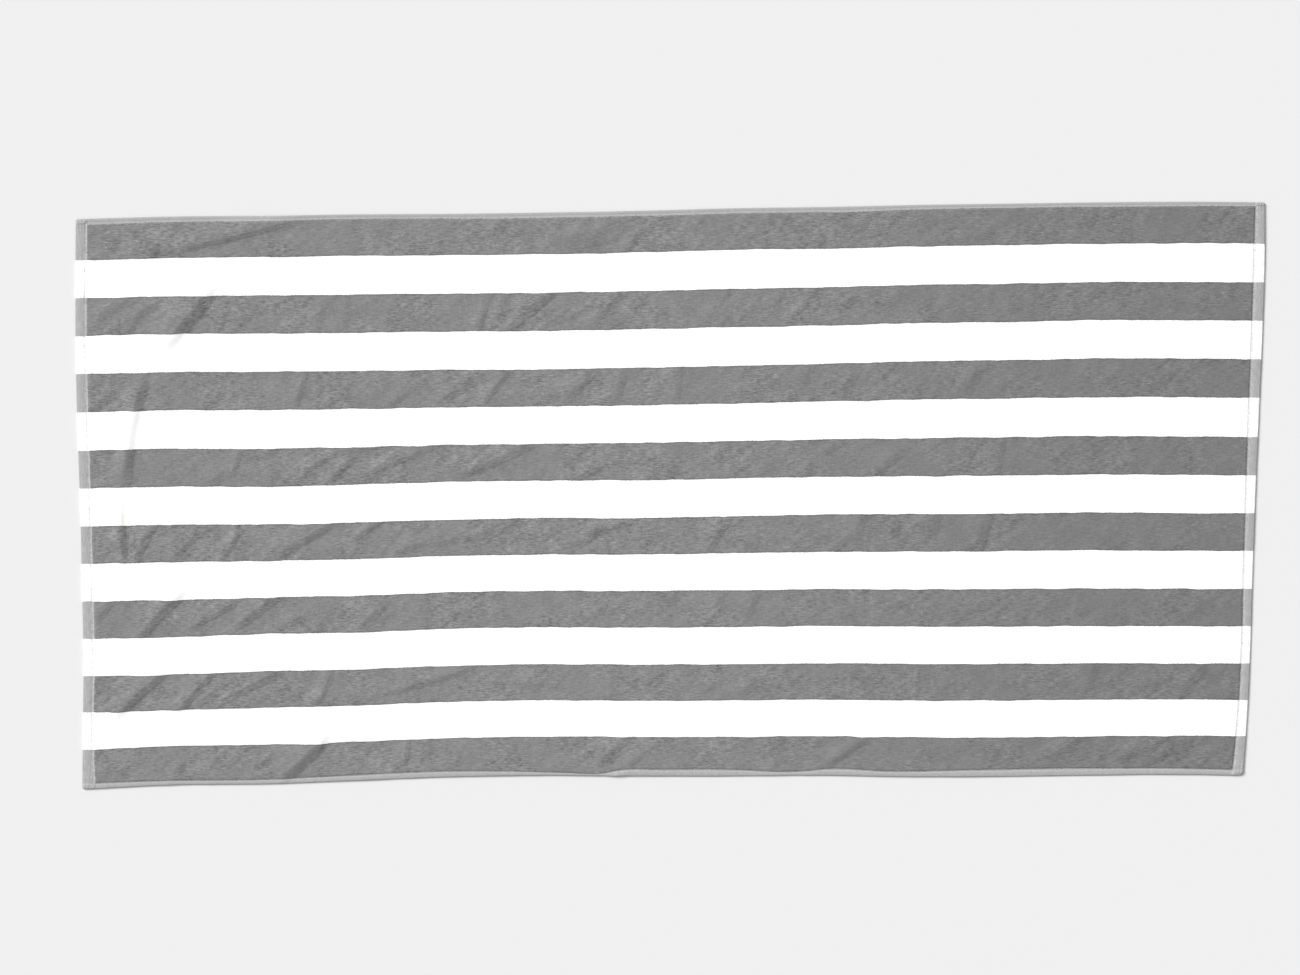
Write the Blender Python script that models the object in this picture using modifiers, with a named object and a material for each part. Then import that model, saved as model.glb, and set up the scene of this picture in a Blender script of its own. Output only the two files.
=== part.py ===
"""A striped beach towel of velour terry, lying flat and a little creased on the surface under it.

It is one length of cloth: both ends and both long sides are turned under and stitched down, so the hems
belong to the same solid and lie lower than the pile between them. Metres, with +X along the towel, +Y
across it and +Z up. The origin is on the surface it lies on, below the middle of its outline.
"""

from collections import namedtuple

import bpy
import numpy as np

MM = 0.001

# The hemmed cloth. The two outer stripes run on into the side hems, so they are the widest.
STRIPES = 15
STRIPE_PITCH = 0.0492
OUTER_STRIPE = 0.0532
LENGTH = 1.528
WIDTH = (STRIPES - 2) * STRIPE_PITCH + 2 * OUTER_STRIPE

# Hems are flat weave folded over itself; the pile stands above them and starts a short step inside.
END_HEM = 0.014
SIDE_HEM = 0.0065
PILE_THICKNESS = 0.003
HEM_THICKNESS = 0.002
PILE_STEP = 0.003
CORNER_TUCK = 0.002

# Cells of the sheet between the hems.
CELLS_ALONG = 128
CELLS_ACROSS = 62

GREY = (0.25, 0.25, 0.25, 1.0)
ROUGHNESS = 0.95

# How the long lines of the cloth wander: millimetres pushed towards +Y, at places along the towel.
LineLay = namedtuple("LineLay", "along far_side far_quarter middle near_quarter near_side")
LINE_LAY = (
    LineLay(-764, -1.0, 1.0, 0.0, -0.5, -0.5),
    LineLay(-640, 0.5, 2.0, 1.0, 0.0, 4.0),
    LineLay(-520, 0.0, 1.0, -1.0, 3.0, 3.5),
    LineLay(-400, 0.0, 0.0, 0.5, 3.0, 6.5),
    LineLay(-280, -1.0, 0.0, 2.0, 6.5, 9.5),
    LineLay(-160, -1.0, -1.0, 2.5, 6.5, 10.0),
    LineLay(-40, -0.5, -0.5, 1.0, 4.5, 7.5),
    LineLay(80, 1.0, 0.0, 1.5, 3.5, 5.5),
    LineLay(200, 1.0, 1.0, 2.0, 3.0, 5.0),
    LineLay(320, 2.0, 2.5, 1.0, 0.5, 1.5),
    LineLay(440, 2.0, 2.5, 0.5, -1.0, 0.0),
    LineLay(560, 2.0, 3.0, 0.0, -2.0, 0.0),
    LineLay(680, 1.0, 1.0, -2.5, -4.0, -0.5),
    LineLay(764, -1.0, -1.0, -4.0, -5.5, -3.0),
)

# How the two ends slant and wander: millimetres pushed towards +X, at places across the towel.
EndLay = namedtuple("EndLay", "across left right")
END_LAY = (
    EndLay(-373, -8.5, -13.0),
    EndLay(-350, -11.0, -10.0),
    EndLay(-300, -9.0, -7.5),
    EndLay(-200, -3.5, -2.0),
    EndLay(-100, -1.5, -1.0),
    EndLay(0, 0.5, 1.0),
    EndLay(100, 1.0, 4.0),
    EndLay(200, 3.0, 7.0),
    EndLay(300, 6.5, 8.5),
    EndLay(373, 10.0, 7.5),
)

# Main creases, in millimetres. Each rises gently on the left of its line, over rise, stands height above
# the surface, and drops steeply across its line, over fall. bow bends the line towards its steep side.
Crease = namedtuple("Crease", "start_x start_y end_x end_y bow rise fall height")
CREASES = (
    Crease(-662, 326, -462, 370, 3, 30, 13, 3.0),
    Crease(-672, 170, -562, 304, 3, 45, 20, 4.0),
    Crease(-702, 14, -668, 182, 2, 34, 18, 3.5),
    Crease(-704, -88, -702, 30, -6, 30, 14, 3.0),
    Crease(-702, -180, -616, -98, 2, 38, 17, 3.5),
    Crease(-736, -290, -640, -204, -2, 34, 15, 3.5),
    Crease(-660, -286, -586, -210, 0, 30, 13, 2.5),
    Crease(-516, -368, -438, -298, 3, 40, 19, 4.0),
    Crease(-522, -70, -424, -16, 2, 30, 14, 3.0),
    Crease(-282, 30, -164, 78, 2, 34, 14, 2.5),
    Crease(-214, 218, -132, 280, 2, 38, 16, 2.5),
    Crease(196, -360, 272, -308, 2, 28, 13, 2.5),
    Crease(488, -356, 560, -312, 2, 30, 14, 2.5),
    Crease(578, -356, 676, -312, 3, 32, 14, 3.0),
)
CREASE_FADE = 0.25


def clear_scene():
    for old in list(bpy.data.objects):
        bpy.data.objects.remove(old, do_unlink=True)


def make_cloth_material():
    material = bpy.data.materials.new("cloth")
    material.use_nodes = True
    shader = material.node_tree.nodes["Principled BSDF"]
    shader.inputs["Base Color"].default_value = GREY
    shader.inputs["Roughness"].default_value = ROUGHNESS
    shader.inputs["Metallic"].default_value = 0.0
    material.diffuse_color = GREY
    return material


def lines_of_grid(size, hem, cells):
    """Places of the grid's lines along one side: edge, hem, top of the pile's step, even cells, and back."""
    half = size / 2
    field = half - hem - PILE_STEP
    return np.concatenate(
        ([-half, -half + hem], np.linspace(-field, field, cells + 1), [half - hem, half])
    )


def soft_step(share):
    share = np.clip(share, 0.0, 1.0)
    return share * share * (3.0 - 2.0 * share)


def crease_lift(x, y, crease):
    """Millimetres that one crease lifts the points x, y off the surface."""
    run_x = crease.end_x - crease.start_x
    run_y = crease.end_y - crease.start_y
    run = np.hypot(run_x, run_y)
    from_x = x - crease.start_x
    from_y = y - crease.start_y
    share = (from_x * run_x + from_y * run_y) / run**2
    bend = crease.bow * 4.0 * share * (1.0 - share)
    beside = (from_x * run_y - from_y * run_x) / run - bend
    climb = soft_step((beside + crease.fall / 2 + crease.rise) / crease.rise)
    drop = soft_step((crease.fall / 2 - beside) / crease.fall)
    ends = soft_step(share / CREASE_FADE) * soft_step((1.0 - share) / CREASE_FADE)
    return crease.height * climb * drop * ends


def line_shift(x, y):
    """Millimetres that a point is pushed across the towel by the wander of its long lines."""
    half = WIDTH / MM / 2
    along = [row.along for row in LINE_LAY]
    columns = [
        np.interp(x, along, [getattr(row, name) for row in LINE_LAY])
        for name in ("near_side", "near_quarter", "middle", "far_quarter", "far_side")
    ]
    place = np.clip((y + half) / (2 * half), 0.0, 1.0) * (len(columns) - 1)
    shift = np.zeros_like(x)
    for number, column in enumerate(columns):
        shift += column * np.clip(1.0 - np.abs(place - number), 0.0, 1.0)
    return shift


def end_shift(x, y):
    """Millimetres that a point is pushed along the towel by the slant of its ends."""
    across = [row.across for row in END_LAY]
    left = np.interp(y, across, [row.left for row in END_LAY])
    right = np.interp(y, across, [row.right for row in END_LAY])
    share = x / (LENGTH / MM) + 0.5
    return left + (right - left) * share


def make_sheet():
    """The underside of the cloth: a grid laid out on hem lines, pushed to its outline, lifted at creases."""
    lines_x = lines_of_grid(LENGTH, END_HEM, CELLS_ALONG)
    lines_y = lines_of_grid(WIDTH, SIDE_HEM, CELLS_ACROSS)
    cells_x = len(lines_x) - 1
    cells_y = len(lines_y) - 1
    bpy.ops.mesh.primitive_grid_add(x_subdivisions=cells_x, y_subdivisions=cells_y, size=1.0)
    sheet = bpy.context.object
    count = len(sheet.data.vertices)
    place = np.empty(count * 3)
    sheet.data.vertices.foreach_get("co", place)
    place = place.reshape(count, 3)
    column = np.rint((place[:, 0] + 0.5) * cells_x).astype(int)
    row = np.rint((place[:, 1] + 0.5) * cells_y).astype(int)
    x = lines_x[column] / MM
    y = lines_y[row] / MM

    corner = np.isin(column, (0, cells_x)) & np.isin(row, (0, cells_y))
    tuck = np.where(corner, CORNER_TUCK / MM, 0.0)
    laid_x = x + end_shift(x, y) - tuck * np.sign(x)
    laid_y = y + line_shift(x, y) - tuck * np.sign(y)
    laid_x -= (laid_x.max() + laid_x.min()) / 2
    laid_y -= (laid_y.max() + laid_y.min()) / 2
    lift = np.max([crease_lift(laid_x, laid_y, crease) for crease in CREASES], axis=0)

    laid = np.stack((laid_x, laid_y, lift), axis=1) * MM
    sheet.data.vertices.foreach_set("co", laid.ravel())
    in_pile = (column > 1) & (column < cells_x - 1) & (row > 1) & (row < cells_y - 1)
    pile = sheet.vertex_groups.new(name="pile")
    pile.add(np.flatnonzero(in_pile).tolist(), 1.0, "REPLACE")
    return sheet


def give_thickness(sheet):
    """Full thickness where there is pile, and the hems' own thickness outside it."""
    solidify = sheet.modifiers.new("Thickness", "SOLIDIFY")
    solidify.thickness = PILE_THICKNESS
    solidify.offset = 1.0
    solidify.vertex_group = "pile"
    solidify.thickness_vertex_group = HEM_THICKNESS / PILE_THICKNESS


def make_towel(collection, material):
    towel = make_sheet()
    towel.name = "towel"
    towel.data.name = "towel"
    towel.data.materials.append(material)
    give_thickness(towel)
    for holder in list(towel.users_collection):
        holder.objects.unlink(towel)
    collection.objects.link(towel)


clear_scene()
beach_towel = bpy.data.collections.new("beach_towel")
bpy.context.scene.collection.children.link(beach_towel)
make_towel(beach_towel, make_cloth_material())
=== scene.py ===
import math
from collections import namedtuple

import bpy
import numpy as np
from mathutils import Matrix, Vector, noise


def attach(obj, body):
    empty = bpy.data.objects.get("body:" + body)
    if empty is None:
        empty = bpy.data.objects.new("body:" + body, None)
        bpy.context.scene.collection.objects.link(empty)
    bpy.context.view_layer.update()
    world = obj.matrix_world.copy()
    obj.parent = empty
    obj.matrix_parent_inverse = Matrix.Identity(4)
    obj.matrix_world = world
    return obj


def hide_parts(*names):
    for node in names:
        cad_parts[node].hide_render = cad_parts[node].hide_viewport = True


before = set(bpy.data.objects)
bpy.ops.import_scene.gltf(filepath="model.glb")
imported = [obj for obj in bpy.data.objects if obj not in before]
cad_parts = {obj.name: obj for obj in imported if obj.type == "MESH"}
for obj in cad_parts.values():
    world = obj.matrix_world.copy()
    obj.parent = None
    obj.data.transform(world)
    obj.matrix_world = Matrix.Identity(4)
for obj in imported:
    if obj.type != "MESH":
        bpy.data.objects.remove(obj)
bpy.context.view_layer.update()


# ======================================================================================================
# The towel cloth. One length of cotton terry, woven with grey and white stripes along it and sheared to
# velour on its upper face, with loops left on the back. Its ends and sides are flat-woven, turned under
# and stitched down, so they lie lower than the pile. It lies on the ground as it was put down.

MM = 0.001

STRIPES = 15
STRIPE_PITCH = 49.2
OUTER_STRIPE = 53.2
LENGTH = 1528.0
WIDTH = (STRIPES - 2) * STRIPE_PITCH + 2 * OUTER_STRIPE
END_HEM = 14.0
SIDE_HEM = 6.5

HEM_TOP = 2.1
HEM_FOLD_RADIUS = 1.0
PILE_TOP = 2.9
PILE_SLOPE = 1.8
BACK_GAP = 0.35
SEAM_IN = 1.6
SEAM_DIP = 0.35
SEAM_DIP_REACH = 1.2
CORNER_RISE = 0.55
CORNER_RISE_RUN = 1.1
CORNER_RADIUS = 2.2
LOOSE_CORNER_RADIUS = 5.5

# The whole cloth lies this far off the middle, and an uneven hem is eased out over HEM_EASE of the pile.
SETTLE_X = 1.4
SETTLE_Y = 0.4
HEM_EASE = 22.0

# How the long lines of the cloth wander: millimetres pushed towards +Y, at places along the towel.
LineLay = namedtuple("LineLay", "along far_side far_quarter middle near_quarter near_side")
LINE_LAY = (
    LineLay(-764, -1.0, 1.0, 0.0, -0.5, -0.5),
    LineLay(-640, 0.5, 2.0, 1.0, 0.0, 4.0),
    LineLay(-520, 0.0, 1.0, -1.0, 3.0, 3.5),
    LineLay(-400, 0.0, 0.0, 0.5, 3.0, 6.5),
    LineLay(-280, -1.0, 0.0, 2.0, 6.5, 9.5),
    LineLay(-160, -1.0, -1.0, 2.5, 6.5, 10.0),
    LineLay(-40, -0.5, -0.5, 1.0, 4.5, 7.5),
    LineLay(80, 1.0, 0.0, 1.5, 3.5, 5.5),
    LineLay(200, 1.0, 1.0, 2.0, 3.0, 5.0),
    LineLay(320, 2.0, 2.5, 1.0, 0.5, 1.5),
    LineLay(440, 2.0, 2.5, 0.5, -1.0, 0.0),
    LineLay(560, 2.0, 3.0, 0.0, -2.0, 0.0),
    LineLay(680, 1.0, 1.0, -2.5, -4.0, -0.5),
    LineLay(764, -1.0, -1.0, -4.0, -5.5, -3.0),
)

# How the two ends slant and wander, in millimetres pushed towards +X, and how wide their hems came out,
# at places across the towel.
EndLay = namedtuple("EndLay", "across left right left_hem right_hem")
END_LAY = (
    EndLay(-373, -12.0, -9.5, 17.5, 15.5),
    EndLay(-350, -11.0, -8.5, 16.0, 14.0),
    EndLay(-300, -8.5, -6.0, 14.0, 12.5),
    EndLay(-200, -3.5, -2.5, 14.5, 11.5),
    EndLay(-100, -1.5, -1.0, 14.5, 12.0),
    EndLay(0, 0.5, 1.0, 14.0, 12.5),
    EndLay(100, 1.0, 4.0, 14.5, 13.5),
    EndLay(200, 3.0, 7.0, 14.0, 14.0),
    EndLay(300, 6.5, 8.5, 14.5, 14.0),
    EndLay(373, 10.0, 7.5, 14.5, 12.0),
)

# How wide the hand-fed side hems came out, in millimetres, at places along the towel.
HemWidth = namedtuple("HemWidth", "along near far")
HEM_WIDTH = (
    HemWidth(-764, 8.0, 7.0),
    HemWidth(-600, 5.5, 6.5),
    HemWidth(-450, 7.0, 5.5),
    HemWidth(-300, 8.0, 5.5),
    HemWidth(-200, 6.0, 6.5),
    HemWidth(-130, 3.6, 6.0),
    HemWidth(-80, 3.2, 6.0),
    HemWidth(-57, 7.8, 6.0),
    HemWidth(0, 9.0, 6.5),
    HemWidth(110, 8.0, 6.0),
    HemWidth(150, 5.2, 6.0),
    HemWidth(190, 6.0, 6.0),
    HemWidth(210, 8.4, 6.5),
    HemWidth(300, 7.0, 5.5),
    HemWidth(400, 9.0, 5.0),
    HemWidth(500, 10.0, 5.0),
    HemWidth(620, 8.8, 5.5),
    HemWidth(764, 7.5, 4.5),
)

# Creases, in millimetres, stripe by stripe from the far side. Each rises on the left of its line, over
# rise, stands height above the rest, and drops across its line, over fall. bow bends the line towards
# its drop.
Crease = namedtuple("Crease", "start_x start_y end_x end_y bow rise fall height")
CREASES = (
    Crease(-700, 318, -608, 340, 0, 30, 16, 1.5),
    Crease(-662, 324, -447, 373, 3, 26, 9, 3.2),
    Crease(-150, 326, -40, 354, 2, 40, 30, 1.2),
    Crease(-54, 318, -26, 348, 0, 11, 9, 1.3),
    Crease(-742, 238, -668, 276, 0, 22, 13, 1.6),
    Crease(-702, 234, -630, 276, 0, 18, 10, 2.0),
    Crease(-694, 218, -672, 252, 0, 9, 7, 1.2),
    Crease(-658, 187, -563, 303, 3, 45, 20, 4.5),
    Crease(-450, 220, -434, 266, 0, 16, 10, 1.0),
    Crease(-452, 244, -412, 280, 0, 14, 9, 1.0),
    Crease(-242, 212, -218, 276, -2, 14, 7, 1.9),
    Crease(-224, 232, -186, 280, 0, 12, 8, 1.5),
    Crease(-214, 214, -128, 284, 2, 34, 16, 2.5),
    Crease(-100, 214, -46, 274, -3, 18, 9, 1.8),
    Crease(290, 246, 326, 280, 0, 14, 9, 1.0),
    Crease(336, 216, 350, 270, 0, 20, 12, 1.0),
    Crease(-748, 124, -698, 154, 0, 14, 12, 1.2),
    Crease(-730, 134, -708, 178, 0, 12, 10, 1.1),
    Crease(-702, 14, -664, 184, -6, 17, 16, 3.6),
    Crease(-484, 116, -460, 184, 2, 16, 9, 1.8),
    Crease(-362, 122, -318, 156, 0, 12, 8, 1.4),
    Crease(-308, 126, -240, 172, 4, 14, 6, 1.9),
    Crease(-242, 122, -198, 178, 2, 16, 9, 1.8),
    Crease(-138, 122, -80, 180, 2, 22, 11, 1.8),
    Crease(-66, 118, -48, 182, 0, 18, 12, 1.2),
    Crease(14, 118, 20, 184, 0, 18, 10, 1.4),
    Crease(170, 134, 198, 182, 0, 16, 10, 1.0),
    Crease(222, 128, 254, 168, 0, 20, 12, 1.0),
    Crease(274, 146, 306, 182, 0, 14, 8, 1.0),
    Crease(384, 122, 414, 176, 0, 24, 16, 1.3),
    Crease(-592, 26, -556, 58, 0, 16, 14, 1.2),
    Crease(-568, 26, -546, 84, 0, 10, 9, 1.4),
    Crease(-530, 56, -496, 80, 0, 12, 10, 1.0),
    Crease(-480, 34, -414, 72, -3, 14, 9, 2.0),
    Crease(-446, 60, -352, 77, -3, 11, 8, 1.7),
    Crease(-442, 24, -402, 64, 0, 12, 9, 1.8),
    Crease(-412, 32, -288, 79, 1, 16, 9, 2.3),
    Crease(-286, 30, -158, 82, 3, 30, 13, 2.6),
    Crease(-240, 36, -170, 60, 0, 14, 10, 1.2),
    Crease(-122, 26, -72, 52, 0, 16, 8, 1.2),
    Crease(192, 52, 246, 80, 0, 12, 9, 1.0),
    Crease(262, 26, 316, 64, 0, 20, 14, 1.5),
    Crease(380, 24, 404, 70, 0, 20, 12, 1.2),
    Crease(427, 16, 441, 86, 0, 16, 10, 1.4),
    Crease(-704, -96, -706, 26, -3, 14, 10, 3.0),
    Crease(-696, -80, -658, -14, -3, 18, 12, 2.2),
    Crease(-650, -78, -592, -24, -3, 14, 9, 1.9),
    Crease(-584, -78, -554, -30, 0, 12, 7, 1.8),
    Crease(-560, -48, -558, -12, 0, 10, 8, 1.4),
    Crease(-524, -74, -418, -14, 2, 26, 13, 3.0),
    Crease(-414, -50, -358, -14, 0, 14, 7, 2.1),
    Crease(-364, -66, -300, -48, 0, 12, 8, 1.4),
    Crease(-316, -56, -184, -28, 2, 18, 10, 1.5),
    Crease(-142, -60, -86, -46, 0, 14, 10, 1.2),
    Crease(-122, -46, -24, -22, 0, 16, 9, 1.8),
    Crease(46, -80, 88, -16, 0, 16, 11, 2.3),
    Crease(212, -74, 248, -40, 0, 20, 12, 1.4),
    Crease(244, -68, 258, -14, 0, 22, 14, 1.4),
    Crease(296, -72, 300, -16, 0, 20, 12, 1.0),
    Crease(338, -74, 354, -16, 0, 26, 20, 1.4),
    Crease(404, -78, 422, -14, 0, 26, 18, 1.8),
    Crease(-750, -154, -720, -116, 0, 12, 10, 1.6),
    Crease(-702, -182, -614, -96, -1, 17, 15, 3.6),
    Crease(-632, -162, -546, -114, 3, 18, 8, 2.4),
    Crease(-570, -164, -496, -112, 0, 20, 14, 2.4),
    Crease(-528, -170, -470, -144, 0, 12, 9, 1.3),
    Crease(-404, -170, -358, -116, 0, 24, 14, 1.6),
    Crease(58, -162, 72, -120, 0, 12, 12, 1.2),
    Crease(102, -160, 120, -118, 0, 18, 10, 1.2),
    Crease(-740, -290, -646, -208, -2, 30, 13, 3.6),
    Crease(-660, -288, -586, -208, 0, 22, 12, 2.8),
    Crease(-630, -276, -570, -216, 0, 10, 7, 1.2),
    Crease(-614, -270, -490, -212, 0, 9, 12, 1.8),
    Crease(-470, -272, -438, -214, 3, 14, 9, 1.6),
    Crease(-392, -255, -234, -210, 2, 14, 8, 2.2),
    Crease(-266, -236, -146, -240, 0, 10, 6, 1.0),
    Crease(90, -260, 136, -228, 0, 9, 14, 1.8),
    Crease(190, -238, 266, -234, 0, 10, 6, 0.9),
    Crease(324, -272, 328, -212, 0, 10, 6, 1.2),
    Crease(546, -266, 564, -214, 0, 22, 14, 1.2),
    Crease(664, -268, 714, -218, 0, 10, 14, 1.6),
    Crease(-574, -354, -486, -320, 0, 12, 8, 1.4),
    Crease(-520, -371, -436, -294, 3, 34, 18, 4.5),
    Crease(-352, -362, -342, -306, 0, 14, 10, 1.2),
    Crease(-104, -356, -42, -304, 0, 18, 12, 1.8),
    Crease(-64, -356, -16, -322, 0, 10, 10, 1.4),
    Crease(194, -361, 270, -309, 2, 14, 9, 2.4),
    Crease(486, -355, 560, -311, 0, 18, 10, 2.4),
    Crease(576, -357, 678, -309, 3, 14, 9, 2.4),
    Crease(612, -360, 696, -322, 0, 20, 20, 1.4),
    Crease(-89, -370, -51, -361, 0, 6, 4.5, 1.2),
)

# What the creases all share: where the whole set lies against its rows, how sharply and how low the
# velour lets them stand, the part of each line over which a crease fades out, how far its top hangs over
# for each millimetre of height, and how much of a lower crease shows where two meet.
CREASE_SHIFT_X = 1.0
CREASE_SHIFT_Y = -1.0
FALL_SHARE = 0.88
LEAST_FALL = 5.0
HEIGHT_SHARE = 0.78
CREASE_FADE = 0.3
OVERHANG = 0.35
MEETING_SHARE = 0.25

# How near a crease's painted shade and painted highlight reach over the pile, in widths of its drop, and how
# strong they are on a low crease and from what height on they are full.
CREASE_REACH = 2.4
CREASE_PAINT_FADE = 2.0
CREASE_FAR = 3.0
LOW_CREASE_PAINT = 0.3
FULL_PAINT_HEIGHT = 4.0

# Unevenness between the creases: height millimetres, over patches of about size millimetres. A pace below
# 1 draws the patches out along the towel. The swells are raised a little, and where one would still lie
# below the ground the cloth is flat.
Ripple = namedtuple("Ripple", "height size pace seed")
SWELLS = (
    Ripple(0.45, 130.0, 1.0, 3.1),
    Ripple(0.30, 48.0, 1.0, 7.7),
)
TUFTS = (
    Ripple(0.10, 11.0, 1.0, 11.3),
    Ripple(0.14, 19.0, 0.6, 5.9),
)
SWELL_RAISE = 0.15

# Fine drags of the hand run slantwise over the cloth, and are weaker towards the right end. They are raised
# and flattened like the swells.
DRAG = Ripple(0.42, 15.0, 0.32, 21.4)
DRAG_RUN = (0.80, 0.60)
DRAG_RAISE = 0.05
DRAG_FADES_FROM = -50.0
DRAG_FADES_OVER = 500.0
DRAG_FADES_BY = 0.6

# Where the mesh lines of a hem lie: in from its edge round the fold, at a share of its width, and out from
# the pile along the seam. The first line of the pile's own cells lies FIRST_PILE_LINE further in.
FOLD_LINES = (0.0, 0.12, 0.45, 1.1)
HEM_MIDDLE = 0.45
SEAM_LINES = (2.9, 2.2, SEAM_IN, 0.9, 0.0)
FIRST_PILE_LINE = 3.0

# How wide the mesh cells are, up to each place: finer towards the more creased left end.
CELLS_ALONG = ((-380.0, 4.3), (0.0, 5.2), (764.0, 6.2))
CELLS_ACROSS = ((374.0, 5.6),)


def smooth_through(rows, place, column, at):
    """A column of a table, read at places between its rows from a smooth curve through them."""
    places = np.array([getattr(row, place) for row in rows], float)
    values = np.array([getattr(row, column) for row in rows], float)
    slopes = np.gradient(values, places)
    row = np.clip(np.searchsorted(places, at) - 1, 0, len(places) - 2)
    span = places[row + 1] - places[row]
    share = np.clip((at - places[row]) / span, 0.0, 1.0)
    swing = share * (1.0 - share)
    step = share * share * (3.0 - 2.0 * share)
    bend = (slopes[row] * (1.0 - share) - slopes[row + 1] * share) * swing * span
    return values[row] + (values[row + 1] - values[row]) * step + bend


def soft_step(share):
    share = np.clip(share, 0.0, 1.0)
    return share * share * (3.0 - 2.0 * share)


def hem_ease(edge_in, hem):
    """How far points edge_in from the edge go along with an uneven hem: all the way where the pile starts,
    and not at all at the edge or HEM_EASE further in."""
    return np.where(edge_in < hem, edge_in / hem, np.clip(1.0 - (edge_in - hem) / HEM_EASE, 0.0, 1.0))


def laid_out(x, y):
    """Where a point of the flat cloth comes to lie, in millimetres."""
    half = WIDTH / 2
    inset = half - np.abs(y)
    near = smooth_through(HEM_WIDTH, "along", "near", x)
    far = smooth_through(HEM_WIDTH, "along", "far", x)
    spread = np.where(y < 0, near, far) - SIDE_HEM
    ease = hem_ease(inset, SIDE_HEM)
    fed_y = y - np.sign(y) * spread * ease
    end_in = LENGTH / 2 - np.abs(x)
    left_hem = smooth_through(END_LAY, "across", "left_hem", y)
    right_hem = smooth_through(END_LAY, "across", "right_hem", y)
    spread = np.where(x < 0, left_hem, right_hem) - END_HEM
    ease = hem_ease(end_in, END_HEM)
    fed_x = x - np.sign(x) * spread * ease

    columns = ("near_side", "near_quarter", "middle", "far_quarter", "far_side")
    place = np.clip((y + half) / WIDTH, 0.0, 1.0) * (len(columns) - 1)
    shift_y = np.zeros_like(x)
    for number, column in enumerate(columns):
        share = soft_step(1.0 - np.abs(place - number))
        shift_y += smooth_through(LINE_LAY, "along", column, x) * share
    left = smooth_through(END_LAY, "across", "left", y)
    right = smooth_through(END_LAY, "across", "right", y)
    shift_x = left + (right - left) * (x / LENGTH + 0.5)

    # Corners turn with a small radius, and the near right one is stitched down rounder.
    radius = np.where((x > 0) & (y < 0), LOOSE_CORNER_RADIUS, CORNER_RADIUS)
    end_turn = np.clip(radius - end_in, 0, None)
    side_turn = np.clip(radius - inset, 0, None)
    reach = np.maximum(np.hypot(end_turn, side_turn), 1e-6)
    pull = 1.0 - np.maximum(end_turn, side_turn) / reach
    rounded_x = np.sign(x) * end_turn * pull
    rounded_y = np.sign(y) * side_turn * pull
    return fed_x + shift_x - rounded_x + SETTLE_X, fed_y + shift_y - rounded_y + SETTLE_Y


def crease_shape(x, y, crease):
    """For one crease at the points x, y: its lift, its line's direction, the places of the points across
    its drop, from -0.5 at the top to 0.5 at the foot, and how full the crease is there along its line."""
    run_x = crease.end_x - crease.start_x
    run_y = crease.end_y - crease.start_y
    run = np.hypot(run_x, run_y)
    from_x = x - crease.start_x - CREASE_SHIFT_X
    from_y = y - crease.start_y - CREASE_SHIFT_Y
    fall = max(LEAST_FALL, crease.fall * FALL_SHARE)
    share = (from_x * run_x + from_y * run_y) / run**2
    bend = crease.bow * 4.0 * share * (1.0 - share)
    beside = (from_x * run_y - from_y * run_x) / run - bend
    climb = soft_step((beside + fall / 2 + crease.rise) / crease.rise)
    drop = soft_step((fall / 2 - beside) / fall)
    full = soft_step(share / CREASE_FADE) * soft_step((1.0 - share) / CREASE_FADE)
    lift = crease.height * HEIGHT_SHARE * climb * drop * full
    return lift, (run_x / run, run_y / run), beside / fall, full


def rippled(x, y, ripple):
    """The height of one ripple at the points x, y, above or below the mean."""
    along = x * ripple.pace / ripple.size
    across = y / ripple.size
    places = [Vector((a, b, ripple.seed)) for a, b in zip(along, across)]
    return ripple.height * np.array([noise.noise(place) for place in places])


def creased(x, y):
    """Where the creases and a slight swell carry the laid points: sideways over each drop, and up."""
    lift = np.zeros_like(x)
    moved_x = x.copy()
    moved_y = y.copy()
    for crease in CREASES:
        height, (run_x, run_y), _, _ = crease_shape(x, y, crease)
        lift = np.maximum(lift, height) + MEETING_SHARE * np.minimum(lift, height)
        moved_x += OVERHANG * height * run_y
        moved_y -= OVERHANG * height * run_x
    swell = sum(rippled(x, y, each) for each in SWELLS)
    run_x, run_y = DRAG_RUN
    handled = 1.0 - DRAG_FADES_BY * soft_step((x - DRAG_FADES_FROM) / DRAG_FADES_OVER)
    drags = rippled(x * run_x + y * run_y, y * run_x - x * run_y, DRAG) * handled
    lift += np.clip(swell + SWELL_RAISE, 0.0, None)
    lift += np.clip(drags + DRAG_RAISE, 0.0, None)
    return moved_x, moved_y, lift


def face_height(x, y):
    """Millimetres from the cloth's back to its upper face, at a point of the flat cloth. The end hems are
    turned last, over the side hems, so the corners stand a little higher."""
    end_in = LENGTH / 2 - np.abs(x)
    side_in = WIDTH / 2 - np.abs(y)
    edge_in = np.minimum(end_in, side_in)
    past_hem = np.minimum(end_in - END_HEM, side_in - SIDE_HEM)
    fold = np.clip(1.0 - edge_in / HEM_FOLD_RADIUS, 0.0, 1.0)
    hem = HEM_TOP - HEM_FOLD_RADIUS + HEM_FOLD_RADIUS * np.sqrt(1.0 - fold**2)
    seam = np.clip(1.0 - np.abs(past_hem + SEAM_IN) / SEAM_DIP_REACH, 0.0, 1.0)
    hem -= SEAM_DIP * soft_step(seam)
    over_end = soft_step((END_HEM - end_in) / CORNER_RISE_RUN)
    over_side = soft_step((SIDE_HEM - side_in) / CORNER_RISE_RUN)
    hem += CORNER_RISE * over_end * over_side * (1.0 - fold)
    return hem + (PILE_TOP - HEM_TOP) * soft_step(past_hem / PILE_SLOPE)


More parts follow.
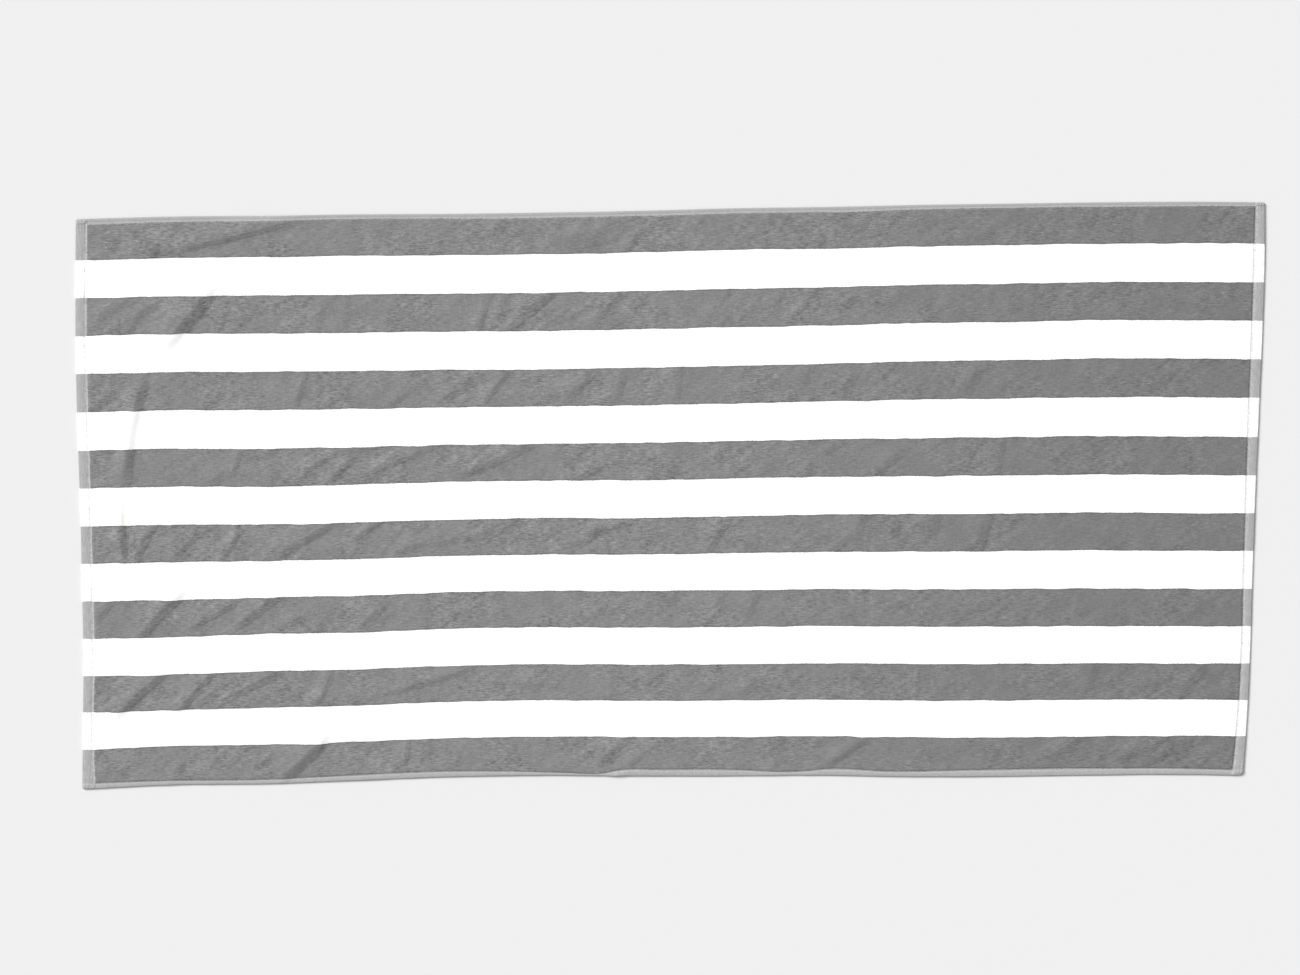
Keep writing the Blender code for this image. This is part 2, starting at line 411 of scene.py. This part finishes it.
def back_height(x, y):
    """Millimetres from the ground to the cloth's back: the turned hems touch it, and the loops clear it."""
    end_in = LENGTH / 2 - np.abs(x)
    side_in = WIDTH / 2 - np.abs(y)
    edge_in = np.minimum(end_in, side_in)
    past_hem = np.minimum(end_in - END_HEM, side_in - SIDE_HEM)
    fold = np.clip(1.0 - edge_in / HEM_FOLD_RADIUS, 0.0, 1.0)
    return HEM_FOLD_RADIUS * (1.0 - np.sqrt(1.0 - fold**2)) + BACK_GAP * soft_step(past_hem / PILE_SLOPE)


def cloth_lines(size, hem, spacings):
    """Places of the mesh lines across one direction: close in the hems, then by the spacings' rows."""
    half = size / 2
    hem_lines = [*FOLD_LINES, hem * HEM_MIDDLE] + [hem - line for line in SEAM_LINES]
    rise_lines = [hem + PILE_SLOPE * 0.5, hem + PILE_SLOPE, hem + FIRST_PILE_LINE]
    inner = np.array(sorted(set(hem_lines + rise_lines)))
    places = [-half + inner[-1]]
    for until, cell in spacings:
        stop = min(until, half - inner[-1])
        cells = max(1, round((stop - places[-1]) / cell))
        places.extend(np.linspace(places[-1], stop, cells + 1)[1:])
    return np.concatenate((-half + inner[:-1], places, (half - inner[:-1])[::-1]))


def make_cloth():
    """The cloth, laid out from a flat grid: its upper face first, then its back."""
    lines_x = cloth_lines(LENGTH, END_HEM, CELLS_ALONG)
    lines_y = cloth_lines(WIDTH, SIDE_HEM, CELLS_ACROSS)
    cells_x = len(lines_x) - 1
    cells_y = len(lines_y) - 1
    bpy.ops.object.select_all(action="DESELECT")
    bpy.ops.mesh.primitive_grid_add(x_subdivisions=cells_x, y_subdivisions=cells_y, size=1.0)
    cloth = bpy.context.object
    cloth.name = "towel_cloth"
    count = len(cloth.data.vertices)
    grid = np.empty(count * 3)
    cloth.data.vertices.foreach_get("co", grid)
    grid = grid.reshape(count, 3)
    flat_x = lines_x[np.rint((grid[:, 0] + 0.5) * cells_x).astype(int)]
    flat_y = lines_y[np.rint((grid[:, 1] + 0.5) * cells_y).astype(int)]

    laid_x, laid_y = laid_out(flat_x, flat_y)
    x, y, lift = creased(laid_x, laid_y)
    pile = soft_step((face_height(flat_x, flat_y) - HEM_TOP) / (PILE_TOP - HEM_TOP))
    tufts = sum(rippled(x, y, each) for each in TUFTS)
    face = lift + face_height(flat_x, flat_y) + tufts * pile
    place = np.stack((x, y, face), axis=1) * MM
    cloth.data.vertices.foreach_set("co", place.ravel())

    loops = np.empty(len(cloth.data.loops), int)
    cloth.data.loops.foreach_get("vertex_index", loops)
    flat = np.stack((flat_x / LENGTH + 0.5, flat_y / WIDTH + 0.5), axis=1)
    cloth.data.uv_layers[0].name = "flat_cloth"
    cloth.data.uv_layers[0].data.foreach_set("uv", flat[loops].ravel())

    solidify = cloth.modifiers.new("Back", "SOLIDIFY")
    solidify.thickness = PILE_TOP * MM
    solidify.offset = -1.0
    solidify.material_offset = 1
    bpy.ops.object.modifier_apply(modifier=solidify.name)

    back = np.stack((x, y, lift + back_height(flat_x, flat_y)), axis=1) * MM
    both = np.concatenate((place, back))
    cloth.data.vertices.foreach_set("co", both.ravel())

    mark_painted_crease_shade(cloth, laid_x, laid_y, pile)
    bpy.ops.object.shade_smooth()
    return cloth


def mark_painted_crease_shade(cloth, x, y, pile):
    """Each point keeps its place across the strongest crease near it, and how strong that crease's painted
    shade and painted highlight are there.
    """
    best = np.zeros_like(x)
    across_crease = np.full_like(x, CREASE_FAR)
    painted_shade_depth = np.zeros_like(x)
    for crease in CREASES:
        _, _, across, full = crease_shape(x, y, crease)
        depth = full * min(1.0, LOW_CREASE_PAINT + crease.height * HEIGHT_SHARE / FULL_PAINT_HEIGHT)
        score = depth * soft_step((CREASE_REACH - np.abs(across)) / CREASE_PAINT_FADE)
        nearest = score > best
        best = np.where(nearest, score, best)
        across_crease = np.where(nearest, np.clip(across, -CREASE_FAR, CREASE_FAR), across_crease)
        painted_shade_depth = np.where(nearest, depth, painted_shade_depth)
    for name, values in (("across_crease", across_crease), ("painted_shade_depth", painted_shade_depth * pile)):
        attribute = cloth.data.attributes.new(name, "FLOAT", "POINT")
        attribute.data.foreach_set("value", np.concatenate((values, values)))


class Yarn:
    """A socket of a material's nodes. Arithmetic on it adds Math nodes, and node() adds any other node."""

    def __init__(self, tree, socket=None):
        self.tree = tree
        self.socket = socket

    def node(self, kind, settings=None, inputs=None, output=0):
        added = self.tree.nodes.new(kind)
        for name, value in (settings or {}).items():
            setattr(added, name, value)
        for name, value in (inputs or {}).items():
            if isinstance(value, Yarn):
                self.tree.links.new(value.socket, added.inputs[name])
            else:
                added.inputs[name].default_value = value
        return Yarn(self.tree, added.outputs[output])

    def math(self, operation, *values):
        return self.node("ShaderNodeMath", {"operation": operation}, dict(enumerate(values)))

    def __add__(self, other):
        return self.math("ADD", self, other)

    def __radd__(self, other):
        return self.math("ADD", other, self)

    def __sub__(self, other):
        return self.math("SUBTRACT", self, other)

    def __rsub__(self, other):
        return self.math("SUBTRACT", other, self)

    def __mul__(self, other):
        return self.math("MULTIPLY", self, other)

    def __rmul__(self, other):
        return self.math("MULTIPLY", other, self)

    def __abs__(self):
        return self.math("ABSOLUTE", self)

    def step(self, low, high):
        """0 below low and 1 above high, with a soft step between."""
        settings = {"interpolation_type": "SMOOTHSTEP"}
        inputs = {"Value": self, "From Min": low, "From Max": high}
        return self.node("ShaderNodeMapRange", settings, inputs)

    def larger(self, other):
        return self.math("MAXIMUM", self, other)

    def place(self, x, y):
        return self.node("ShaderNodeCombineXYZ", None, {"X": x, "Y": y})

    def speckle(self, at, scale, detail=2.0, roughness=0.5):
        """Noise from 0 to 1 at a place in millimetres; scale is in patches per millimetre."""
        inputs = {"Vector": at, "Scale": scale, "Detail": detail, "Roughness": roughness}
        return self.node("ShaderNodeTexNoise", {"noise_dimensions": "2D"}, inputs)

    def mix(self, low, high):
        """A colour between low and high by this factor."""
        settings = {"data_type": "RGBA"}
        return self.node("ShaderNodeMix", settings, {0: self, 6: low, 7: high}, output=2)

    def shaded(self, colour):
        """A colour multiplied by this value."""
        settings = {"data_type": "RGBA", "blend_type": "MULTIPLY"}
        grey = self.node("ShaderNodeCombineColor", None, {"Red": self, "Green": self, "Blue": self})
        return self.node("ShaderNodeMix", settings, {0: 1.0, 6: colour, 7: grey}, output=2)


GREY_VELOUR = (0.180, 0.180, 0.181, 1.0)
WHITE_VELOUR = (0.84, 0.84, 0.836, 1.0)
GREY_FLAT_WEAVE = (0.318, 0.318, 0.320, 1.0)
WHITE_FLAT_WEAVE = (0.82, 0.82, 0.816, 1.0)

# The two outer stripes are wider than the rest: past OUTER_RUN of an even stripe their colour stays grey.
OUTER_RUN = 0.98

# How far the stripes' edges fray and wander and the hems' edges scallop, and how soft each edge is.
FRAY = 1.3
WANDER = 2.2
STRIPE_EDGE = 0.5
END_SCALLOP = 2.6
SIDE_SCALLOP = 2.0
HEM_EDGE = 0.6

# How much each unevenness of the grey pile changes its tone, and how strong each painted highlight and
# painted shade on it is.
PATCH_SHADE = 0.32
CLOUD_SHADE = 0.28
STREAK_SHADE = 1.36
DRAG_SHADE = 0.42
# Painted shade on a crease's drop and at its foot, and a painted highlight on its crest.
DROP_PAINTED_SHADE = 0.07
FOOT_PAINTED_SHADE = 0.15
CREST_PAINTED_HIGHLIGHT = 0.09
LINT_SHADE = 0.12
BRUSH_SHADE = 0.22
# Painted shade along the grey side of each stripe edge.
EDGE_PAINTED_SHADE = 0.14
# Painted shade darkening the grey pile towards the right end.
RIGHT_END_PAINTED_SHADE = 0.18

# The same for the white pile and for the hems.
WHITE_PATCH_SHADE = 0.10
WHITE_STREAK_SHADE = 0.12
WHITE_CLOUD_SHADE = 0.06
SLUB_SHADE = 0.60
HEADING_SHADE = 0.05
BEAD_SHADE = 0.6

# How deep the bumps of the upper face and of the loops are, in metres.
PILE_BUMP = 0.0009
LOOP_BUMP = 0.0012

Pattern = namedtuple("Pattern", "along across at white border end_in end_hem hem")


def new_fabric(name, sheen, sheen_roughness):
    """A fabric material and the nodes it starts from."""
    material = bpy.data.materials.new(name)
    material.use_nodes = True
    shader = material.node_tree.nodes["Principled BSDF"]
    shader.inputs["Specular IOR Level"].default_value = 0.2
    shader.inputs["Sheen Weight"].default_value = sheen
    shader.inputs["Sheen Roughness"].default_value = sheen_roughness
    return material, shader, Yarn(material.node_tree)


def cloth_pattern(yarn):
    """What both faces share: the place on the flat cloth, how white the stripe is there, how far inside its
    grey stripe the place lies, and the hems."""
    flat = yarn.node("ShaderNodeUVMap", {"uv_map": "flat_cloth"})
    along = (flat.node("ShaderNodeSeparateXYZ", None, {0: flat}) - 0.5) * LENGTH
    across = (flat.node("ShaderNodeSeparateXYZ", None, {0: flat}, output=1) - 0.5) * WIDTH
    at = yarn.place(along, across)
    fray = yarn.speckle(at, 0.55, 2.0, 0.6) - 0.5
    wander = yarn.speckle(at, 0.03, 1.0) - 0.5
    woven = across + (STRIPES - 2) / 2 * STRIPE_PITCH + fray * FRAY + wander * WANDER
    stripe = woven * (1 / STRIPE_PITCH)
    stripe = stripe.math("MINIMUM", stripe.larger(-OUTER_RUN), STRIPES - 2 + OUTER_RUN)
    from_white = stripe.math("PINGPONG", stripe - 0.5, 1.0)
    soft = STRIPE_EDGE / 2 / STRIPE_PITCH
    white = 1.0 - from_white.step(0.5 - soft, 0.5 + soft)
    border = (from_white - 0.5) * STRIPE_PITCH
    end_in = LENGTH / 2 - abs(along)
    side_in = WIDTH / 2 - abs(across)
    scallop = yarn.speckle(at, 0.32, 1.0) - 0.5
    end_hem = 1.0 - (end_in + scallop * END_SCALLOP).step(END_HEM + 0.1, END_HEM + 0.1 + HEM_EDGE)
    side_hem = 1.0 - (side_in + scallop * SIDE_SCALLOP).step(SIDE_HEM, SIDE_HEM + HEM_EDGE)
    hem = end_hem.larger(side_hem)
    return Pattern(along, across, at, white, border, end_in, end_hem, hem)


def painted_crease_shade(yarn):
    """Painted highlight and painted shade on the pile at a crease: a painted highlight on the crest, painted
    shade on the drop, and a darker line of painted shade at its foot. Places across a crease run from -0.5
    at the top of its drop to 0.5 at the foot."""
    across = yarn.node("ShaderNodeAttribute", {"attribute_name": "across_crease"}, None, output=2)
    depth = yarn.node("ShaderNodeAttribute", {"attribute_name": "painted_shade_depth"}, None, output=2)
    # Painted highlight on the crest, painted shade on the drop, and a darker line of painted shade at the
    # foot.
    crest_highlight = across.step(-0.95, -0.62) * (1.0 - across.step(-0.60, -0.40))
    drop_shade = across.step(-0.55, -0.25) * (1.0 - across.step(-0.05, 0.85))
    foot_shade = across.step(0.10, 0.34) * (1.0 - across.step(0.42, 0.56))
    return (crest_highlight * CREST_PAINTED_HIGHLIGHT - drop_shade * DROP_PAINTED_SHADE - foot_shade * FOOT_PAINTED_SHADE) * depth


def pile_colour(yarn, cloth):
    """The pile leans in small patches and in streaks along the warp, rougher in some places than in others,
    and carries brush marks and specks of lint. Painted shade and a painted highlight mark its creases, a
    thin line of painted shade runs along its edge with each white stripe, and painted shade darkens it
    towards the right end."""
    along, across, at = cloth.along, cloth.across, cloth.at
    patches = yarn.speckle(at, 0.20, 3.0, 0.7)
    clouds = yarn.speckle(at, 0.05, 2.0)
    streaks = yarn.speckle(yarn.place(along * 0.11, across * 0.60 + along * 0.012), 1.0, 3.0, 0.75)
    slanting = yarn.place(along * 0.022 + across * 0.018, across * 0.075 - along * 0.055)
    drags = yarn.speckle(slanting, 1.0, 2.0)
    strokes = yarn.speckle(yarn.place(along * 0.085, across * 0.5 - along * 0.09), 1.0, 2.0)
    brushed = strokes.step(0.56, 0.72) * yarn.speckle(at, 0.018, 1.0).step(0.42, 0.60)
    lint = yarn.speckle(at, 0.42, 1.0).step(0.70, 0.80)
    ruffled = yarn.speckle(at, 0.013, 1.0).step(0.36, 0.64)
    handled = (1.0 - along.step(0.0, 560.0) * 0.20) * (0.62 + ruffled * 0.66)
    # Painted shade, darker towards the right end.
    right_end_shade = along.step(-100.0, 760.0)
    # A thin line of painted shade along the grey side of each edge with a white stripe.
    painted_edge_shade = cloth.border.step(-0.4, 0.6) * (1.0 - cloth.border.step(1.2, 2.6))

    mottle = (patches - 0.5) * PATCH_SHADE + (clouds - 0.5) * CLOUD_SHADE
    mottle = mottle + (streaks - 0.5) * STREAK_SHADE + (drags - 0.5) * DRAG_SHADE
    # The creases' painted highlight and painted shade join the pile's tone here.
    tone = 1.0 + mottle * handled + painted_crease_shade(yarn)
    tone = tone + lint * LINT_SHADE + brushed * BRUSH_SHADE - painted_edge_shade * EDGE_PAINTED_SHADE
    # Painted shade darkens the pile towards the right end.
    tone = tone * (1.0 - right_end_shade * RIGHT_END_PAINTED_SHADE)
    white_tone = 1.0 + (patches - 0.5) * WHITE_PATCH_SHADE + (streaks - 0.5) * WHITE_STREAK_SHADE
    white_tone = white_tone + (clouds - 0.5) * WHITE_CLOUD_SHADE
    return cloth.white.mix(tone.shaded(GREY_VELOUR), white_tone.shaded(WHITE_VELOUR))


def slubs(yarn, cloth):
    """The thick and thin places of the hems' yarn, drawn out across the ends and along the sides."""
    end_slubs = yarn.speckle(yarn.place(cloth.along * 0.62, cloth.across * 0.10), 1.0, 2.0, 0.7)
    side_slubs = yarn.speckle(yarn.place(cloth.along * 0.22, cloth.across * 0.9), 1.0, 2.0, 0.7)
    return cloth.end_hem * (end_slubs - 0.5) + (1.0 - cloth.end_hem) * (side_slubs - 0.5)


def flat_weave_colour(yarn, cloth, weave):
    """Plain weave with its slubs, and a beaded rib in the ends' hems, just outside the pile."""
    inside = 1.0 - cloth.end_in.step(END_HEM, END_HEM + 0.8)
    heading = cloth.end_in.step(END_HEM - 4.2, END_HEM - 3.0) * inside
    beads = yarn.speckle(yarn.place(cloth.along * 0.2, cloth.across * 0.28), 1.0, 1.0)
    tone = 1.0 + weave * SLUB_SHADE + heading * (HEADING_SHADE + (beads - 0.5) * BEAD_SHADE)
    return tone.shaded(cloth.white.mix(GREY_FLAT_WEAVE, WHITE_FLAT_WEAVE))


def velour_material():
    """The upper face: sheared pile in the field, flat weave in the hems."""
    material, shader, yarn = new_fabric("velour_and_flat_weave", 0.25, 0.45)
    cloth = cloth_pattern(yarn)
    weave = slubs(yarn, cloth)
    colour = cloth.hem.mix(pile_colour(yarn, cloth), flat_weave_colour(yarn, cloth, weave))

    fibres = yarn.speckle(cloth.at, 1.5, 2.0, 0.7)
    tufts = yarn.speckle(cloth.at, 0.33, 2.0, 0.55)
    pile_height = (fibres * 0.5 + tufts * 0.75) * (1.0 - cloth.white * 0.45)
    picks = yarn.math("SINE", cloth.along * 5.2) * 0.6 + yarn.math("SINE", cloth.across * 7.1) * 0.4
    hem_height = picks * 0.10 + weave * 0.6
    height = (1.0 - cloth.hem) * pile_height + cloth.hem * hem_height
    bump = yarn.node("ShaderNodeBump", None, {"Height": height, "Strength": 0.6, "Distance": PILE_BUMP})
    roughness = 0.95 - cloth.hem * 0.12
    yarn.tree.links.new(colour.socket, shader.inputs["Base Color"])
    yarn.tree.links.new(roughness.socket, shader.inputs["Roughness"])
    yarn.tree.links.new(bump.socket, shader.inputs["Normal"])
    return material


def loop_material():
    """The back: uncut loops in rows, in the same stripes, with painted shade between the loops."""
    material, shader, yarn = new_fabric("terry_loops", 0.15, 0.5)
    cloth = cloth_pattern(yarn)
    inputs = {"Vector": cloth.at, "Scale": 0.6}
    loops = yarn.node("ShaderNodeTexVoronoi", {"voronoi_dimensions": "2D"}, inputs)
    patches = yarn.speckle(cloth.at, 0.12, 3.0)
    # The colour darkens away from each loop's middle: painted shade in the hollows between the loops.
    tone = 1.06 - loops * 0.22 + (patches - 0.5) * 0.25
    pile = tone.shaded(cloth.white.mix(GREY_VELOUR, WHITE_VELOUR))
    colour = cloth.hem.mix(pile, cloth.white.mix(GREY_FLAT_WEAVE, WHITE_FLAT_WEAVE))
    height = (1.0 - cloth.hem) * (1.0 - loops)
    bump = yarn.node("ShaderNodeBump", None, {"Height": height, "Strength": 0.8, "Distance": LOOP_BUMP})
    yarn.tree.links.new(colour.socket, shader.inputs["Base Color"])
    yarn.tree.links.new(bump.socket, shader.inputs["Normal"])
    shader.inputs["Roughness"].default_value = 0.95
    return material


towel_cloth = make_cloth()
towel_cloth.data.materials.append(velour_material())
towel_cloth.data.materials.append(loop_material())
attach(towel_cloth, "root")
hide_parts("towel")


# ======================================================================================================
# The seams. White polyester lockstitch holds the turned hems down: one row round each side, just outside
# the pile, and a small box of back-stitches where two hems cross at each corner.

STITCH_PITCH = 3.6
STITCH_LENGTH = 3.1
THREAD_WIDTH = 0.7
THREAD_HEIGHT = 0.5
THREAD_PROUD = 0.25
TACK_DEPTH = 15.0
TACK_STEP = 1.5
SEAM_END = 1.2

THREAD_WHITE = (0.52, 0.52, 0.516, 1.0)


def thread_material():
    material, shader, yarn = new_fabric("sewing_thread", 0.1, 0.3)
    place = yarn.node("ShaderNodeTexCoord", None, None, output=3)
    ply = yarn.node("ShaderNodeTexNoise", None, {"Vector": place, "Scale": 900.0, "Detail": 1.0})
    tone = 0.9 + ply * 0.2
    yarn.tree.links.new(tone.shaded(THREAD_WHITE).socket, shader.inputs["Base Color"])
    shader.inputs["Roughness"].default_value = 0.7
    return material


sewing_thread = thread_material()


def sew(name, rows):
    """Rows of lockstitch on the flat cloth, each from one point to another, then laid with the cloth."""
    laid = []
    for (from_x, from_y), (to_x, to_y) in rows:
        run = math.hypot(to_x - from_x, to_y - from_y)
        count = max(1, round(run / STITCH_PITCH))
        bpy.ops.object.select_all(action="DESELECT")
        bpy.ops.mesh.primitive_uv_sphere_add(segments=6, ring_count=4, radius=0.5)
        row = bpy.context.object
        row.data.transform(Matrix.Diagonal((STITCH_LENGTH, THREAD_WIDTH, THREAD_HEIGHT, 1.0)))
        array = row.modifiers.new("Stitches", "ARRAY")
        array.count = count
        array.use_relative_offset = False
        array.use_constant_offset = True
        array.constant_offset_displace = (run / count, 0.0, 0.0)
        bpy.ops.object.modifier_apply(modifier=array.name)
        row.data.transform(Matrix.Translation((run / count / 2, 0.0, 0.0)))
        row.data.transform(Matrix.Rotation(math.atan2(to_y - from_y, to_x - from_x), 4, "Z"))
        row.data.transform(Matrix.Translation((from_x, from_y, 0.0)))
        laid.append(row)
    bpy.ops.object.select_all(action="DESELECT")
    for row in laid:
        row.select_set(True)
    bpy.context.view_layer.objects.active = laid[0]
    if len(laid) > 1:
        bpy.ops.object.join()
    seam = bpy.context.object
    seam.name = name
    points = np.empty(len(seam.data.vertices) * 3)
    seam.data.vertices.foreach_get("co", points)
    points = points.reshape(-1, 3)
    x, y, lift = creased(*laid_out(points[:, 0], points[:, 1]))
    z = lift + face_height(points[:, 0], points[:, 1]) + points[:, 2] + THREAD_HEIGHT * THREAD_PROUD
    seam.data.vertices.foreach_set("co", (np.stack((x, y, z), axis=1) * MM).ravel())
    seam.data.materials.append(sewing_thread)
    bpy.ops.object.shade_smooth()
    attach(seam, "root")
    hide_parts("towel")
    return seam


seam_x = LENGTH / 2 - END_HEM + SEAM_IN
seam_y = WIDTH / 2 - SIDE_HEM + SEAM_IN
edge_x = LENGTH / 2 - SEAM_END
edge_y = WIDTH / 2 - SEAM_END
turn_x = edge_x - TACK_STEP

for end, side in (("left", -1), ("right", 1)):
    rows = [((side * seam_x, -edge_y), (side * seam_x, edge_y))]
    for way in (-1, 1):
        tack_y = way * (WIDTH / 2 - TACK_DEPTH)
        rows.append(((side * seam_x, tack_y), (side * edge_x, tack_y)))
        rows.append(((side * turn_x, tack_y), (side * turn_x, way * edge_y)))
    sew(f"{end}_end_seam", rows)
for name, side in (("near", -1), ("far", 1)):
    sew(f"{name}_side_seam", [((-edge_x, side * seam_y), (edge_x, side * seam_y))])


# ======================================================================================================
# The ground: a plain pale floor, wide enough to fill every view, a hair below the turned hems. Sizes and
# places from here on are in metres.

FLOOR_SIDE = 300.0
FLOOR_GAP = 0.0002
FLOOR_PALE = (0.62, 0.62, 0.62, 1.0)

bpy.ops.object.select_all(action="DESELECT")
bpy.ops.mesh.primitive_plane_add(size=FLOOR_SIDE, location=(0.0, 0.0, -FLOOR_GAP))
floor = bpy.context.object
floor.name = "floor"
floor_material = bpy.data.materials.new("pale_floor")
floor_material.use_nodes = True
floor_shader = floor_material.node_tree.nodes["Principled BSDF"]
floor_shader.inputs["Base Color"].default_value = FLOOR_PALE
floor_shader.inputs["Roughness"].default_value = 0.9
floor_shader.inputs["Specular IOR Level"].default_value = 0.1
floor.data.materials.append(floor_material)


# ======================================================================================================
# Light and camera: a soft key low on the far left, even light from all round, and the camera above.

KEY_FROM = Vector((-8.6, 6.6, 6.6))
KEY_ANGLE = math.radians(23.0)
KEY_STRENGTH = 5.1
ROUND_LIGHT_STRENGTH = 0.56

world = bpy.data.worlds.new("studio")
world.use_nodes = True
world.node_tree.nodes["Background"].inputs["Color"].default_value = (1.0, 1.0, 1.0, 1.0)
world.node_tree.nodes["Background"].inputs["Strength"].default_value = ROUND_LIGHT_STRENGTH
bpy.context.scene.world = world
bpy.context.scene.view_settings.view_transform = "Standard"

key_data = bpy.data.lights.new("key", "SUN")
key_data.angle = KEY_ANGLE
key_data.energy = KEY_STRENGTH
key = bpy.data.objects.new("key", key_data)
key.location = KEY_FROM
key.rotation_euler = KEY_FROM.to_track_quat("Z", "Y").to_euler()
bpy.context.scene.collection.objects.link(key)

CAMERA_AIM = Vector((-0.0204, 0.0163, 0.003))
CAMERA_DISTANCE = 2.5
CAMERA_TILT = math.radians(5.24)
CAMERA_TURN = math.radians(-0.8)
CAMERA_LENS = 53.3
CAMERA_SENSOR = 36.0

camera_data = bpy.data.cameras.new("camera")
camera_data.sensor_width = CAMERA_SENSOR
camera_data.lens = CAMERA_LENS
camera = bpy.data.objects.new("camera", camera_data)
back_off = Vector((0.0, math.sin(CAMERA_TILT), math.cos(CAMERA_TILT))) * CAMERA_DISTANCE
camera.location = CAMERA_AIM + Matrix.Rotation(CAMERA_TURN, 3, "Z") @ back_off
camera.rotation_euler = (-CAMERA_TILT, 0.0, CAMERA_TURN)
bpy.context.scene.collection.objects.link(camera)
bpy.context.scene.camera = camera
